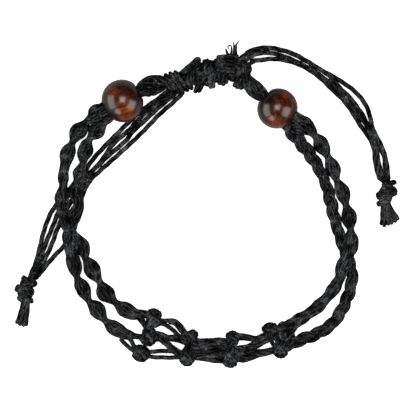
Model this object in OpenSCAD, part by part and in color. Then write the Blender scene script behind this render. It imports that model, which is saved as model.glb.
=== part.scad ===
/* [Beads] */
// Diameter of the left wooden bead across its hole
left_bead_d = 8.6; // [8:0.1:9]
// Diameter of the right wooden bead across its hole
right_bead_d = 8.2; // [8:0.1:8.6]
// Length of a bead along its hole, as a share of its diameter
bead_flat = 0.94; // [0.92:0.01:0.98]
// Diameter of the hole that the cords run through
bead_bore_d = 3.2; // [3.1:0.1:3.6]

/* [Braids] */
// Width of a three-cord braid seen flat
braid_w = 2.8; // [2.2:0.1:3]
// Thickness of a three-cord braid seen on edge
braid_t = 1.5; // [1.2:0.1:1.7]
// Diameter of the bundle of two braids next to a bead
bundle_d = 3.5; // [3:0.1:3.6]
// Diameter of the bundle inside the bead's hole
core_d = 2.8; // [2.4:0.1:2.8]

/* [Tails] */
// Diameter of a tail cord
tail_d = 0.85; // [0.7:0.05:0.85]
// Diameter of the knots that end the tails
end_knot_d = 3.8; // [3.4:0.1:4.2]

/* [Net] */
// Diameter of a cord in the net, two thin cords side by side where they run in pairs
net_cord_d = 1; // [0.8:0.05:1.1]
// Clear gap between a cord's end and the knot it enters
seat_gap = 0.3; // [0.2:0.05:0.35]

/* [Hidden] */

cord_colour = "#1b1b1c";
wood_colour = "#7a3416";
sides = 8; // sides of every swept cord and braid
braid_step = 1.1; // distance between a braid's rings
cord_step = 2.2; // distance between a cord's rings
net_step = 0.2; // distance between the points at which a net cord may be cut off
net_ring_every = 6; // of these points there is one with a ring

// The bracelet lies flat on z = 0 with the sliding knot towards +Y. All routes are in mm.
left_bead_at = [-16.6, 21.1, left_bead_d / 2];
left_bead_angle = 30; // of the hole, from +X
right_bead_at = [14.2, 19.6, right_bead_d / 2];
right_bead_angle = -45;

// Rows of a braid's route: x, y, z, quarter turns that the flat braid has made there.
// Even numbers show a lobe and odd ones a waist.
left_outer_route = [
    [-20.9, 19.2, 4.9, 0.2], [-22, 18.6, 4.1, 0], [-23.8, 17.2, 2.7, 1], [-25.5, 15.1, 1.5, 2],
    [-26.8, 12.7, 1.45, 3], [-27.6, 10.6, 1.45, 4], [-28.1, 8.3, 1.45, 5], [-28.5, 5.6, 1.7, 6],
    [-28.9, 3.8, 1.9, 6.4], [-28.9, 2.2, 2.3, 6.2], [-28.6, 0.4, 3, 6.1], [-28, -1.6, 3.6, 6.1],
    [-27.3, -3.8, 3.9, 6.1], [-26.1, -5.6, 4, 6.1], [-24.7, -7.2, 3.2, 6.1],
    [-24, -9.9, 1.6, 7], [-22.6, -12.7, 1.45, 8], [-21.2, -15, 1.45, 9],
    [-19.8, -17, 1.45, 10], [-18, -19.1, 1.45, 11], [-15.7, -20.7, 1.45, 12],
    [-13.9, -21.6, 1.4, 12.7], [-12.2, -22.1, 1.4, 12.4]];
left_inner_route = [
    [-20.3, 17.8, 2.9, 0], [-20.7, 16.9, 2.5, 0.4], [-21.2, 16.2, 2.1, 1],
    [-21.9, 15.2, 1.6, 2], [-23, 13.4, 1.45, 3], [-24.2, 11, 1.8, 4], [-24.6, 8.6, 2.4, 5],
    [-25.1, 6.7, 2.2, 6], [-25.6, 3.8, 2, 6.2], [-26, 1, 1.9, 6], [-26.3, -1.4, 2, 6],
    [-26.8, -3.8, 2.2, 6], [-27.4, -6, 2.2, 6.2], [-27.3, -8, 2.3, 7],
    [-26.5, -11.5, 1.45, 8], [-25.7, -14.1, 1.45, 9], [-24.6, -16.3, 1.45, 10],
    [-23.3, -18.8, 1.45, 11], [-21.6, -20.7, 1.45, 12], [-20.1, -22.7, 1.45, 13],
    [-18, -24.3, 1.45, 14], [-16.9, -25, 1.3, 14.3]];
right_outer_route = [
    [18, 17.1, 4.6, 0.3], [19.6, 16.1, 3.2, 0], [21.7, 14.2, 1.9, 1], [23.1, 12.5, 1.45, 2],
    [24.3, 10.1, 1.45, 3], [25.3, 7.9, 1.45, 4], [26.1, 5.4, 1.45, 5], [27.2, 3, 1.45, 6],
    [28, 0.5, 1.45, 7], [28.8, -2.1, 1.45, 8], [29, -4.5, 1.9, 9], [29, -7, 2.7, 10],
    [28.3, -9.4, 3.1, 10.2], [27.2, -11.8, 2.6, 10.2], [26.5, -14.4, 1.5, 10.8],
    [25.6, -16.4, 1.45, 12], [24.3, -18.2, 1.45, 12.6], [22.8, -19.6, 1.45, 13.6],
    [21.1, -21, 1.1, 14], [18.8, -22.2, 1, 14], [16.6, -23.4, 1, 14], [14.7, -24.4, 1.1, 14]];
// Here the last column is the width of the braid
right_inner_route = [
    [17.1, 15.4, 2.5, 0.2, 2.4], [18.1, 14, 1.5, 0, 2.3], [19.2, 12.5, 0.95, 0, 2.3],
    [20.9, 10.1, 0.85, 0, 2.3], [22.3, 7.6, 0.85, 0, 2.3], [23.4, 5, 0.85, 0, 2.3],
    [24.4, 2.2, 0.85, 0, 2.3], [25.3, -0.5, 0.85, 0, 2.3], [26, -3.3, 0.85, 0, 2.3],
    [26.7, -6, 0.85, 0, 2.4], [27.7, -8.8, 0.85, 0, 2.5], [28.7, -11.2, 0.85, 0, 2.6],
    [29.2, -13.8, 0.85, 0, 2.7], [28.8, -16.4, 0.9, 0.2, 2.8], [28, -18.6, 0.95, 0.2, 2.8],
    [27.1, -20.6, 0.95, 0, 2.8], [26.1, -22.2, 0.95, -0.2, 2.8], [25, -23.5, 0.95, 0, 2.8],
    [23.3, -24.7, 0.95, 0, 2.8], [21.5, -25.6, 0.95, 0, 2.8], [19.3, -26.4, 1, 0, 2.8],
    [17, -27.3, 1.1, 0, 2.8]];

// Rows of a bundle's route: x, y, z, diameter
left_bundle_route = [
    [-7.7, 24.7, 2.9, bundle_d], [-9.6, 24.4, 3.2, bundle_d], [-11.3, 23.8, 3.8, bundle_d],
    [-12.3, 23.3, 4.1, bundle_d], [-12.9, 23.1, 4.3, core_d], [-14.5, 22.3, 4.3, core_d],
    [-16.6, 21.1, 4.3, core_d], [-18.7, 19.9, 4.3, core_d], [-20.1, 19.1, 4.3, core_d]];
right_bundle_route = [
    [8.7, 24.7, 3, bundle_d], [9.7, 23.8, 3.4, bundle_d], [10.7, 22.9, 3.9, bundle_d],
    [11, 22.6, 4, bundle_d], [11.5, 22.2, 4.1, core_d], [12.8, 21, 4.1, core_d],
    [14.2, 19.6, 4.1, core_d], [15.6, 18.2, 4.1, core_d], [16.8, 17, 4.1, core_d]];

// Rows of a tail's route: x, y, z. Each runs from the sliding knot to the knot at its end.
left_tail_routes = [
    [[-7, 23.6, 1.6], [-8.2, 22.7, 1], [-9.6, 21.7, 0.5], [-11.4, 20.3, 0.45], [-13.7, 18.5, 0.45],
        [-16.4, 16.2, 0.45], [-18.8, 13.8, 0.45], [-21.1, 11.4, 0.45], [-23.3, 9.1, 0.45],
        [-25.3, 7.2, 0.45], [-27.2, 4.9, 0.45], [-29, 2.5, 0.45], [-30.3, 0.4, 0.45],
        [-31.3, -1.8, 0.45], [-32.4, -4.8, 0.45], [-33.2, -8, 0.45], [-34, -11.1, 0.45],
        [-35, -13.4, 0.7]],
    [[-6.5, 23.2, 2.2], [-7.6, 22.2, 1.8], [-9.1, 21.1, 1.2], [-10.9, 19.7, 1], [-12.8, 18.1, 0.8],
        [-14.9, 16.2, 0.65], [-17.4, 13.8, 0.6], [-19.6, 11.5, 1], [-21.3, 9.2, 1.3],
        [-22.6, 8, 1.3], [-23.6, 7.3, 1], [-24.7, 6.3, 0.5], [-26.3, 4.2, 0.45],
        [-28.1, 1.5, 0.45], [-29.5, -1, 0.45], [-30.6, -3.8, 0.45], [-31.6, -6.2, 0.45],
        [-32.4, -8.4, 0.8], [-33.4, -11, 1.1], [-34.5, -13.4, 1.6]],
    [[-5.9, 22.8, 1.4], [-7.1, 21.8, 0.9], [-8.6, 20.6, 0.5], [-10.2, 19.2, 0.45],
        [-12, 17.5, 0.45], [-13.7, 15.8, 0.45], [-15.9, 13.6, 0.45], [-18.3, 11.2, 0.45], [-20.8, 9, 0.45],
        [-22.3, 7.5, 0.45], [-24, 5.6, 0.45], [-25.5, 3.3, 0.45], [-27, 0.7, 0.45],
        [-28.5, -1.9, 0.45], [-29.8, -4.6, 0.45], [-30.6, -6.9, 0.45], [-31.5, -9, 0.45],
        [-32.6, -11.1, 0.45], [-34.1, -13.6, 0.7]],
    [[-4.4, 23.2, 1.1], [-5.3, 22.1, 0.7], [-6.9, 20.6, 0.45], [-9.3, 18.5, 0.45],
        [-11.5, 16.2, 0.45], [-13.9, 13.8, 0.45], [-16.6, 11.4, 0.45], [-19.3, 9, 0.45],
        [-21.2, 7.2, 0.45], [-23.1, 5.2, 0.45], [-24.3, 3.3, 0.45], [-25, 1.2, 0.45],
        [-25.6, -1.2, 0.45], [-26.1, -3.6, 0.45], [-27, -5.9, 0.45], [-28.4, -7.8, 0.45],
        [-30.3, -9.8, 0.45], [-32, -11.8, 0.7], [-33.7, -14, 1.3]]];
right_tail_routes = [
    [[7.7, 30.3, 1.6], [9.2, 31.2, 1], [10.4, 31.6, 0.6], [12.6, 31.8, 0.45], [15.2, 31.3, 0.45],
        [17.6, 30.5, 0.45], [20, 29.2, 0.45], [22.4, 27.7, 0.45], [24.8, 26.4, 0.45],
        [27, 25.1, 0.45], [29.4, 23.4, 0.45], [31.2, 21.5, 0.45], [32.3, 19.6, 0.45],
        [32.9, 17.4, 0.45], [33.3, 15.6, 0.45], [34, 13.9, 0.45], [34.9, 11.7, 0.45],
        [35.9, 8.8, 0.45], [36.4, 6, 0.7]],
    [[7.8, 30.5, 2.5], [9.1, 31.2, 1.9], [10.3, 31.6, 1.5], [12.6, 31.8, 1.34], [15.2, 31.3, 1.34],
        [17.6, 30.5, 1.34], [20, 29.2, 1.34], [22.4, 27.7, 1.34], [24.8, 26.4, 1.34],
        [27, 25.1, 1.34], [29.4, 23.4, 1.34], [31.2, 21.5, 1.34], [32.3, 19.6, 1.34],
        [32.9, 17.4, 1.34], [33.3, 15.6, 1.34], [34, 13.9, 1.34], [34.7, 11.7, 1.34],
        [35.4, 8.8, 1.15], [35.8, 6, 1.4]],
    [[8.4, 29.6, 1.5], [9.6, 30.2, 0.9], [11, 30.6, 0.5], [13, 30.7, 0.45], [15.2, 30.3, 0.8],
        [17.4, 29.3, 1.3], [19.6, 28.2, 1.34], [21.9, 26.9, 1.34], [24, 25.1, 1.3],
        [26, 23.5, 1.15], [27.3, 22.7, 0.8], [28.5, 21.7, 0.5], [30, 20, 0.45],
        [31.2, 18.2, 0.45], [32.1, 16.3, 0.5], [33.1, 14, 0.5], [33.9, 11.7, 0.45],
        [34.6, 9.2, 0.45], [35.2, 6, 0.6]],
    [[8.9, 28.7, 1.4], [10, 29.1, 0.7], [11.4, 29.5, 0.45], [13.4, 29.6, 0.45],
        [15.4, 29.4, 0.45], [17.4, 28.9, 0.45], [19.4, 28.1, 0.45], [21.4, 26.9, 0.45],
        [23.3, 25.4, 0.45], [25.2, 23.5, 0.45], [27, 21.6, 0.45], [28.6, 19.7, 0.45],
        [29.9, 17.8, 0.45], [31, 16, 0.45], [32, 14, 0.45], [32.9, 11.7, 0.45],
        [33.7, 8.9, 0.5], [34.5, 5.9, 1.2]]];

// Rows of a net knot: x, y, length, diameter, angle of its length from +X, wraps
net_knots = [
    [-10.4, -22.2, 3.8, 3, 80, 3], [-11.3, -26, 3.5, 2.8, 20, 3], [-13.2, -29.3, 3.4, 3, 0, 3],
    [-2.7, -26, 3.2, 2.2, 80, 4], [-3.5, -29.8, 3.8, 2.8, 60, 3], [5.3, -26.4, 2.8, 2.6, 80, 3],
    [4.8, -30, 3.8, 2.8, 70, 3], [12.7, -24.8, 3, 2.6, 45, 3], [15.1, -28.3, 3.4, 2.8, 60, 3]];
// Rows of a net cord: x, y, z. They start and end inside a knot and are cut off at its face.
left_net_routes = [
    [[-10.4, -22.4, 1.8], [-8.8, -22.3, 1.7], [-6.8, -22.3, 1.6], [-5.4, -23.1, 1.6],
        [-4.2, -24.7, 1.6], [-3, -25.8, 1.5]],
    [[-10.4, -23.2, 0.7], [-8.6, -23.3, 0.6], [-6.8, -24, 0.6], [-5.4, -25, 0.6],
        [-3, -26, 0.7]],
    [[-11, -25.4, 1.7], [-9.4, -25.2, 1.7], [-8, -25.7, 1.7], [-6.4, -26.1, 1.7],
        [-4.6, -26.3, 1.4], [-2.8, -26.6, 1.1]],
    [[-11, -26.2, 0.6], [-9.2, -26.3, 0.6], [-8, -26.9, 0.6], [-7, -28, 0.6],
        [-5.6, -29.3, 0.6], [-3.6, -29.6, 0.6]],
    [[-13, -28.8, 1.8], [-11.3, -28.7, 1.7], [-9.3, -28.5, 1.7], [-7.2, -28.5, 1.7],
        [-5.6, -28.9, 1.7], [-3.6, -29.2, 1.7]],
    [[-13, -30, 0.8], [-11.2, -29.9, 0.7], [-8.5, -30.1, 0.6], [-6, -30.2, 0.6],
        [-3.8, -30, 0.6]],
    [[-13.3, -23.7, 0.5], [-12.9, -24.1, 0.5], [-12.5, -24.6, 0.6], [-11.6, -25.6, 0.8]],
    [[-16.1, -25.2, 1.7], [-14.6, -25.4, 1.7], [-13, -25.7, 1.6], [-11.6, -26, 1.5]],
    [[-16.4, -26.2, 0.7], [-15.3, -27.2, 0.6], [-14.3, -28.4, 0.8], [-13.4, -29, 1]]];
right_net_routes = [
    [[5.4, -26, 1.2], [6.8, -25.9, 1.2], [8.3, -25.9, 1.4], [9.6, -26.1, 1.6],
        [11, -25.6, 1.5], [12.6, -24.9, 1.4]],
    [[5, -28.8, 0.7], [6.6, -28.3, 0.6], [8.2, -27.7, 0.5], [9.8, -26.9, 0.5],
        [11.3, -26, 0.6], [12.6, -25, 0.7]],
    [[5, -29.6, 1.7], [6.5, -29.4, 1.6], [8.4, -28.9, 1.5], [10.4, -28.6, 1.5],
        [12.6, -28.3, 1.5], [15, -28.3, 1.4]],
    [[4.8, -31, 0.7], [6.3, -30.9, 0.6], [7.6, -30.8, 0.5], [9, -30.2, 0.5],
        [11, -29.4, 0.6], [13, -29, 0.6], [15, -28.6, 0.7]],
    [[14.6, -25.5, 0.5], [14.9, -26.2, 0.6], [15.1, -27.6, 0.8]]];
// The cords of the band between the middle knots lie side by side from one y to another
band_cords = 6;
band_left = [-2.6, -26.9, -30.4]; // x, y of the first cord, y of the last one
band_right = [4.6, -26.9, -31.1];
band_z = 1;

// Lumps of the sliding knot: each row is the two ends of a wrap or fold as x, y, z, diameter
knot_lumps = [
    [[-6.3, 26.1, 1.7, 3], [-5.9, 25, 1.7, 3]],
    [[-5.3, 26.3, 1.9, 3.3], [-4.7, 25.1, 1.9, 3.3]],
    [[-4.1, 26.5, 2.1, 3.4], [-3.5, 25.4, 2.1, 3.4]],
    [[-3.4, 27.5, 2.8, 1.6], [-1.7, 29.3, 2.8, 0.8]],
    [[-1.7, 29.2, 2.8, 0.8], [-1, 27.8, 2.8, 1.6]],
    [[-2.2, 26.4, 2.4, 3.8], [-0.6, 26.8, 2.5, 3.8]],
    [[0.4, 28.2, 2.6, 2.6], [1.2, 28, 2.6, 2.6]],
    [[-2.6, 23.4, 1.5, 1.6], [-1.2, 25.2, 2.1, 1.6]],
    [[-1.2, 23.6, 1.5, 1.5], [-0.4, 25.4, 2, 1.5]],
    [[0.2, 26, 2.4, 3.2], [1.1, 25, 2.2, 3.2]],
    [[2.4, 26.4, 2.4, 3], [3.3, 25.6, 2.2, 3]],
    [[2.8, 28.3, 2.7, 4.6], [5.4, 28.1, 2.7, 4.6]],
    [[3, 29.6, 2.6, 2], [6, 29.6, 2.6, 2]],
    [[7.4, 28.6, 2.5, 2.8], [7.6, 26.6, 2.4, 2.8]],
    [[8.1, 27.8, 2.4, 2], [8.2, 27.5, 2.4, 2]],
    [[6, 26, 2, 2.6], [7.3, 24.7, 1.9, 2.6]],
    [[4.1, 30, 2.4, 0.9], [4.5, 31.8, 2.4, 0.7]],
    [[5.7, 30, 2.4, 0.9], [5.9, 32.2, 2.4, 0.7]]];

// Rows of the cut ends below an end knot: x, y, z, width, thickness
left_cut_route = [
    [-36.2, -19.7, 1.1, 1.9, 1.5], [-36.4, -21, 1, 2.1, 1.4], [-36.9, -23.9, 0.85, 2.7, 1.4]];
right_cut_route = [
    [36, -0.3, 1, 1.9, 1.5], [36.2, -1.6, 0.95, 2.6, 1.4], [36.6, -3.4, 0.8, 4.3, 1.2]];

left_end_knot_l = 5.8;
right_end_knot_l = 5.2;
left_end_knot_at = [-36, -16.6, end_knot_d / 2];
left_end_knot_angle = 80; // of its length, from +X
right_end_knot_at = [35.7, 2.9, end_knot_d / 2];
right_end_knot_angle = 76;
end_knot_wraps = 4;

function xyz(row) = [row[0], row[1], row[2]];
function unit(v) = v / norm(v);
function between(a, b, c, d, t) =
    (2 * b + (c - a) * t + (2 * a - 5 * b + 4 * c - d) * t * t
        + (3 * b - a - 3 * c + d) * t * t * t) / 2;

// A smooth line through a route's rows, about step apart, with its other columns carried along
function smooth(rows, step) = let (last = len(rows) - 1) [
    for (i = [0:last - 1])
        let (a = rows[max(i - 1, 0)], b = rows[i], c = rows[i + 1], d = rows[min(i + 2, last)],
            count = max(1, round(norm(xyz(c) - xyz(b)) / step)))
        for (j = [0:count - 1]) between(a, b, c, d, j / count),
    rows[last]];

// Whether a point p is outside the net knot k, whose length and diameter grow by the seat gap
function outside(p, k) =
    let (along = (p[0] - k[0]) * cos(k[4]) + (p[1] - k[1]) * sin(k[4]),
        across = -(p[0] - k[0]) * sin(k[4]) + (p[1] - k[1]) * cos(k[4]),
        away = norm([across, p[2] - k[3] / 2]))
    pow(along / (k[2] / 2 + seat_gap), 4) + pow(away / (k[3] / 2 + seat_gap), 4) > 1;
function clear_of_knots(line) =
    [for (p = line) if (min([for (k = net_knots) outside(p, k) ? 1 : 0]) > 0) p];
function thinned(line, keep_every) =
    [for (i = [0:len(line) - 1]) if (i % keep_every == 0 || i == len(line) - 1) line[i]];

// One ring round point i of a line: an ellipse of width w and thickness t, turned by angle
function ring(line, i, w, t, angle) =
    let (last = len(line) - 1,
        ahead = unit(xyz(line[min(i + 1, last)]) - xyz(line[max(i - 1, 0)])),
        side = unit(cross([0, 0, 1], ahead)), up = cross(ahead, side),
        wide = side * cos(angle) + up * sin(angle), thick = up * cos(angle) - side * sin(angle))
    [for (k = [0:sides - 1]) let (a = (k + 0.5) * 360 / sides)
        xyz(line[i]) + wide * w / 2 * cos(a) + thick * t / 2 * sin(a)];

// A closed solid through rings of points
module skin(rings) {
    last = len(rings) - 1;
    polyhedron(
        points = [for (r = rings) for (p = r) p],
        faces = concat(
            [[for (k = [0:sides - 1]) k]],
            [[for (k = [sides - 1:-1:0]) last * sides + k]],
            [for (i = [0:last - 1]) for (k = [0:sides - 1])
                let (a = i * sides + k, b = i * sides + (k + 1) % sides)
                each [[a, a + sides, b], [b, a + sides, b + sides]]]),
        convexity = 4);
}

module braid(route) {
    line = clear_of_knots(smooth(route, braid_step));
    skin([for (i = [0:len(line) - 1])
        ring(line, i, is_undef(line[i][4]) ? braid_w : line[i][4], braid_t, line[i][3] * 90)]);
}

module cord(line, d) {
    skin([for (i = [0:len(line) - 1]) ring(line, i, d, d, 0)]);
}

module tail(route) {
    cord(smooth(route, cord_step), tail_d);
}

module net_cord(route) {
    cord(thinned(clear_of_knots(smooth(route, net_step)), net_ring_every), net_cord_d);
}

module bundle(route) {
    line = smooth(route, braid_step);
    skin([for (i = [0:len(line) - 1]) ring(line, i, line[i][3], line[i][3], 0)]);
}

module flat_bundle(route) {
    line = smooth(route, braid_step);
    skin([for (i = [0:len(line) - 1]) ring(line, i, line[i][3], line[i][4], 0)]);
}

// A round bead on its side, flattened a little towards the two mouths of its hole
module bead(at, angle, d) {
    long = d * bead_flat;
    translate(at) rotate([0, 90, angle]) rotate_extrude($fn = 96)
        intersection() {
            translate([(d - long) / 2, 0]) circle(d = long);
            translate([bead_bore_d / 2, -long]) square([d, 2 * long]);
        }
}

// A knot of wraps side by side round its own length
module wrapped_knot(at, long, d, angle, wraps) {
    wrap_r = min(0.56 * long / wraps, d / 4 - 0.02);
    pitch = (long - 2 * wrap_r) / (wraps - 1);
    end_inset = wrap_r / 4; // of the flat core at each end
    translate(at) rotate([0, 90, angle]) rotate_extrude($fn = 48)
        union() {
            translate([0, -long / 2 + end_inset]) square([d / 2 - wrap_r, long - 2 * end_inset]);
            for (i = [0:wraps - 1])
                translate([d / 2 - wrap_r, -long / 2 + wrap_r + i * pitch])
                    circle(r = wrap_r, $fn = 32);
        }
}

module net_knot(number) {
    k = net_knots[number - 1];
    color(cord_colour) wrapped_knot([k[0], k[1], k[3] / 2], k[2], k[3], k[4], k[5]);
}

module ball(row) {
    translate(xyz(row)) sphere(d = row[3], $fn = 10);
}

module left_bead() { color(wood_colour) bead(left_bead_at, left_bead_angle, left_bead_d); }
module right_bead() { color(wood_colour) bead(right_bead_at, right_bead_angle, right_bead_d); }
module left_bundle() { color(cord_colour) bundle(left_bundle_route); }
module right_bundle() { color(cord_colour) bundle(right_bundle_route); }
module left_outer_strand() { color(cord_colour) braid(left_outer_route); }
module left_inner_strand() { color(cord_colour) braid(left_inner_route); }
module right_outer_strand() { color(cord_colour) braid(right_outer_route); }
module right_inner_strand() { color(cord_colour) braid(right_inner_route); }
module net_cords_left() { color(cord_colour) for (r = left_net_routes) net_cord(r); }
module net_cords_right() { color(cord_colour) for (r = right_net_routes) net_cord(r); }
module net_band() {
    color(cord_colour) for (i = [0:band_cords - 1]) let (share = i / (band_cords - 1))
        net_cord([
            [band_left[0], band_left[1] + (band_left[2] - band_left[1]) * share, band_z],
            [band_right[0], band_right[1] + (band_right[2] - band_right[1]) * share, band_z]]);
}
module sliding_knot() {
    color(cord_colour) for (lump = knot_lumps) hull() { ball(lump[0]); ball(lump[1]); }
}
module left_tail(number) { color(cord_colour) tail(left_tail_routes[number - 1]); }
module right_tail(number) { color(cord_colour) tail(right_tail_routes[number - 1]); }
module left_end_knot() {
    color(cord_colour) wrapped_knot(
        left_end_knot_at, left_end_knot_l, end_knot_d, left_end_knot_angle, end_knot_wraps);
}
module right_end_knot() {
    color(cord_colour) wrapped_knot(
        right_end_knot_at, right_end_knot_l, end_knot_d, right_end_knot_angle, end_knot_wraps);
}
module left_cut_ends() { color(cord_colour) flat_bundle(left_cut_route); }
module right_cut_ends() { color(cord_colour) flat_bundle(right_cut_route); }

left_bead();
right_bead();
left_bundle();
right_bundle();
left_outer_strand();
left_inner_strand();
right_outer_strand();
right_inner_strand();
net_knot(1);  // net_knot_1
net_knot(2);  // net_knot_2
net_knot(3);  // net_knot_3
net_knot(4);  // net_knot_4
net_knot(5);  // net_knot_5
net_knot(6);  // net_knot_6
net_knot(7);  // net_knot_7
net_knot(8);  // net_knot_8
net_knot(9);  // net_knot_9
net_cords_left();
net_band();
net_cords_right();
sliding_knot();
left_tail(1);  // left_tail_1
left_tail(2);  // left_tail_2
left_tail(3);  // left_tail_3
left_tail(4);  // left_tail_4
right_tail(1);  // right_tail_1
right_tail(2);  // right_tail_2
right_tail(3);  // right_tail_3
right_tail(4);  // right_tail_4
left_end_knot();
right_end_knot();
left_cut_ends();
right_cut_ends();
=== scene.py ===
import math
import bpy
import numpy as np
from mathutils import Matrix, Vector


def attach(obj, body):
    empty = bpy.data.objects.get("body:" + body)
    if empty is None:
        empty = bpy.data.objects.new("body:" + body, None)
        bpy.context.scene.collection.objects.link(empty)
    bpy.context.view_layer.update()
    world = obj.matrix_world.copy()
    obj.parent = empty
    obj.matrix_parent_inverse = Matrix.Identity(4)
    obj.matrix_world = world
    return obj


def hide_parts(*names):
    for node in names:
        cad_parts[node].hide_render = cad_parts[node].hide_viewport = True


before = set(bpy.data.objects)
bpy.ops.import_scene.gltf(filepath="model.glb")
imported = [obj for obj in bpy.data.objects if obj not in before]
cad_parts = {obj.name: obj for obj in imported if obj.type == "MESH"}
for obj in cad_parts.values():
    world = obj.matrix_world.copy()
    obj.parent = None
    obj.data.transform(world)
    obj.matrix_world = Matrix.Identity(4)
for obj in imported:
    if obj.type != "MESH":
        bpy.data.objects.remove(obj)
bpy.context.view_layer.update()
mm = 0.001
print("stage: the CAD frame is loaded")

# The camera looks straight down through a long lens; its picture is 83.2 mm wide
view = dict(middle=(0.4, -0.2), wide=83.2, lens=300, sensor=36)


def addObject(name, data):
    made = bpy.data.objects.new(name, data)
    bpy.context.scene.collection.objects.link(made)
    return made


def makeCamera():
    data = bpy.data.cameras.new("topCamera")
    data.lens = view["lens"]
    data.sensor_width = view["sensor"]
    away = view["wide"] * mm * view["lens"] / view["sensor"]
    data.clip_start, data.clip_end = 0.01, 4 * away
    camera = addObject("topCamera", data)
    camera.location = (view["middle"][0] * mm, view["middle"][1] * mm, away)
    bpy.context.scene.camera = camera


makeCamera()
bpy.context.scene.view_settings.view_transform = "Standard"


# A node socket that takes part in ordinary sums
class Wire:
    def __init__(self, tree, socket):
        self.tree, self.socket = tree, socket

    def math(self, operation, *others, clamp=False, swap=False):
        node = self.tree.nodes.new("ShaderNodeMath")
        node.operation, node.use_clamp = operation, clamp
        values = (self, *others)
        for socket, value in zip(node.inputs, reversed(values) if swap else values):
            join(self.tree, socket, value)
        return Wire(self.tree, node.outputs[0])

    def __add__(self, other):
        return self.math("ADD", other)

    def __radd__(self, other):
        return self.math("ADD", other, swap=True)

    def __sub__(self, other):
        return self.math("SUBTRACT", other)

    def __rsub__(self, other):
        return self.math("SUBTRACT", other, swap=True)

    def __mul__(self, other):
        return self.math("MULTIPLY", other)

    def __rmul__(self, other):
        return self.math("MULTIPLY", other, swap=True)

    def clamped(self):
        return self.math("ADD", 0.0, clamp=True)


def join(tree, socket, value):
    if isinstance(value, Wire):
        tree.links.new(value.socket, socket)
    else:
        socket.default_value = value


class Graph:
    # makes nodes in one tree: type, settings, then values or links of the sockets
    def __init__(self, tree):
        self.tree = tree
        tree.nodes.clear()

    def node(self, kind, settings=None, output=0, **inputs):
        made = self.tree.nodes.new(kind)
        for name, value in (settings or {}).items():
            if name == "stops":
                self.setStops(made.color_ramp, value)
            else:
                setattr(made, name, value)
        for name, value in inputs.items():
            key = int(name[1:]) if name[0] == "i" and name[1:].isdigit() else name.replace("_", " ")
            join(self.tree, made.inputs[key], value)
        return Wire(self.tree, made.outputs[output]) if made.outputs else None

    def setStops(self, ramp, stops):
        while len(ramp.elements) < len(stops):
            ramp.elements.new(1.0)
        for element, (place, colour) in zip(ramp.elements, stops):
            element.position, element.color = place, (*colour, 1)

    def noise(self, place, scale, detail, rough=0.5):
        return self.node("ShaderNodeTexNoise", Vector=place, Scale=scale, Detail=detail, Roughness=rough)

    def mixColour(self, share, a, b):
        return self.node("ShaderNodeMix", dict(data_type="RGBA"), output=2, i0=share, i6=a, i7=b)


def newMaterial(name):
    material = bpy.data.materials.new(name)
    material.use_nodes = True
    return material, Graph(material.node_tree)


# Waxed cord: near black, with fibres along the plies, painted glints as highlights, and painted shade on the
# sides of each cord
cordLook = dict(
    dark=(0.0004, 0.0004, 0.0006, 1), light=(0.06, 0.06, 0.065, 1), paintedGlint=(0.1, 0.107, 0.111, 1),
    roughness=0.36, grooveRough=0.22, waxRough=0.5, fibreRough=0.25, specular=0.03,
    # flank and crestEdge set the painted shade on the sides of each cord
    flank=0.15, crestEdge=2.2,  # how bright a cord stays at its sides, and how fast it darkens there
    fibreAlong=230.0, fibreRound=1.7,  # how dense the fibres are along the cord and round it
    markAlong=2600.0, markRound=1.6, waxDensity=520.0,
    fibreShare=5.5, markShare=0.5, middle=0.22, grooveShade=0.35,  # what makes the cord lighter or darker
    paintedGlintShare=4.0, paintedGlintFrom=1.02, paintedGlintEdge=1.6,
    bump=1.0, bumpDepth=0.12, fibreHeight=0.5, ripple=0.25, grooveHeight=0.7)


def makeCordMaterial(name, look):
    material, g = newMaterial(name)
    along, groove, crown = [g.node("ShaderNodeAttribute", dict(attribute_name=stored), output=2)
                            for stored in ("along", "groove", "crown")]
    side = g.node("ShaderNodeAttribute", dict(attribute_name="side"), output=1)
    part, across = [g.node("ShaderNodeSeparateXYZ", output=i, i0=side) for i in range(2)]

    def noiseOnCord(lengthwise, crosswise, detail, rough):
        spot = g.node("ShaderNodeCombineXYZ",
                      i0=along * lengthwise, i1=part * crosswise, i2=across * crosswise)
        return g.noise(spot, 1.0, detail, rough)

    fibres = noiseOnCord(look["fibreAlong"], look["fibreRound"], 3.0, 0.65)
    marks = noiseOnCord(look["markAlong"], look["markRound"], 2.0, 0.6)
    place = g.node("ShaderNodeTexCoord", output=3)
    wax = g.noise(place, look["waxDensity"], 3.0, 0.6)
    # painted light and shade: a cord is lighter where it faces up and darker on its sides
    paintedFlankShade = ((crown - 0.5) * look["crestEdge"]).clamped() * (1.0 - look["flank"]) + look["flank"]
    # the fibres give lighter streaks along the cord: partly the cord's own tone, partly painted highlight
    bright = (fibres - 0.5) * look["fibreShare"] + (marks - 0.5) * look["markShare"] + look["middle"]
    bright = (bright - groove * look["grooveShade"]).clamped() * paintedFlankShade
    colour = g.mixColour(bright, look["dark"], look["light"])
    # painted highlights: lighter specks mixed into the colour where the marks and the wax noise are both
    # high
    paintedGlint = ((marks * wax * look["paintedGlintShare"] - look["paintedGlintFrom"]) * look["paintedGlintEdge"]).clamped()
    colour = g.mixColour(paintedGlint, colour, look["paintedGlint"])
    rough = look["roughness"] + groove * look["grooveRough"] + (wax - 0.5) * look["waxRough"]
    rough = (rough + (fibres - 0.5) * look["fibreRough"]).clamped()
    height = fibres * look["fibreHeight"] + marks * look["ripple"] - groove * look["grooveHeight"]
    bump = g.node("ShaderNodeBump", Height=height, Strength=look["bump"], Distance=look["bumpDepth"] * mm)
    shader = g.node("ShaderNodeBsdfPrincipled", Base_Color=colour, Roughness=rough, Normal=bump,
                    Specular_IOR_Level=look["specular"])
    g.node("ShaderNodeOutputMaterial", Surface=shader)
    return material


waxedCord = makeCordMaterial("waxedCord", cordLook)


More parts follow.
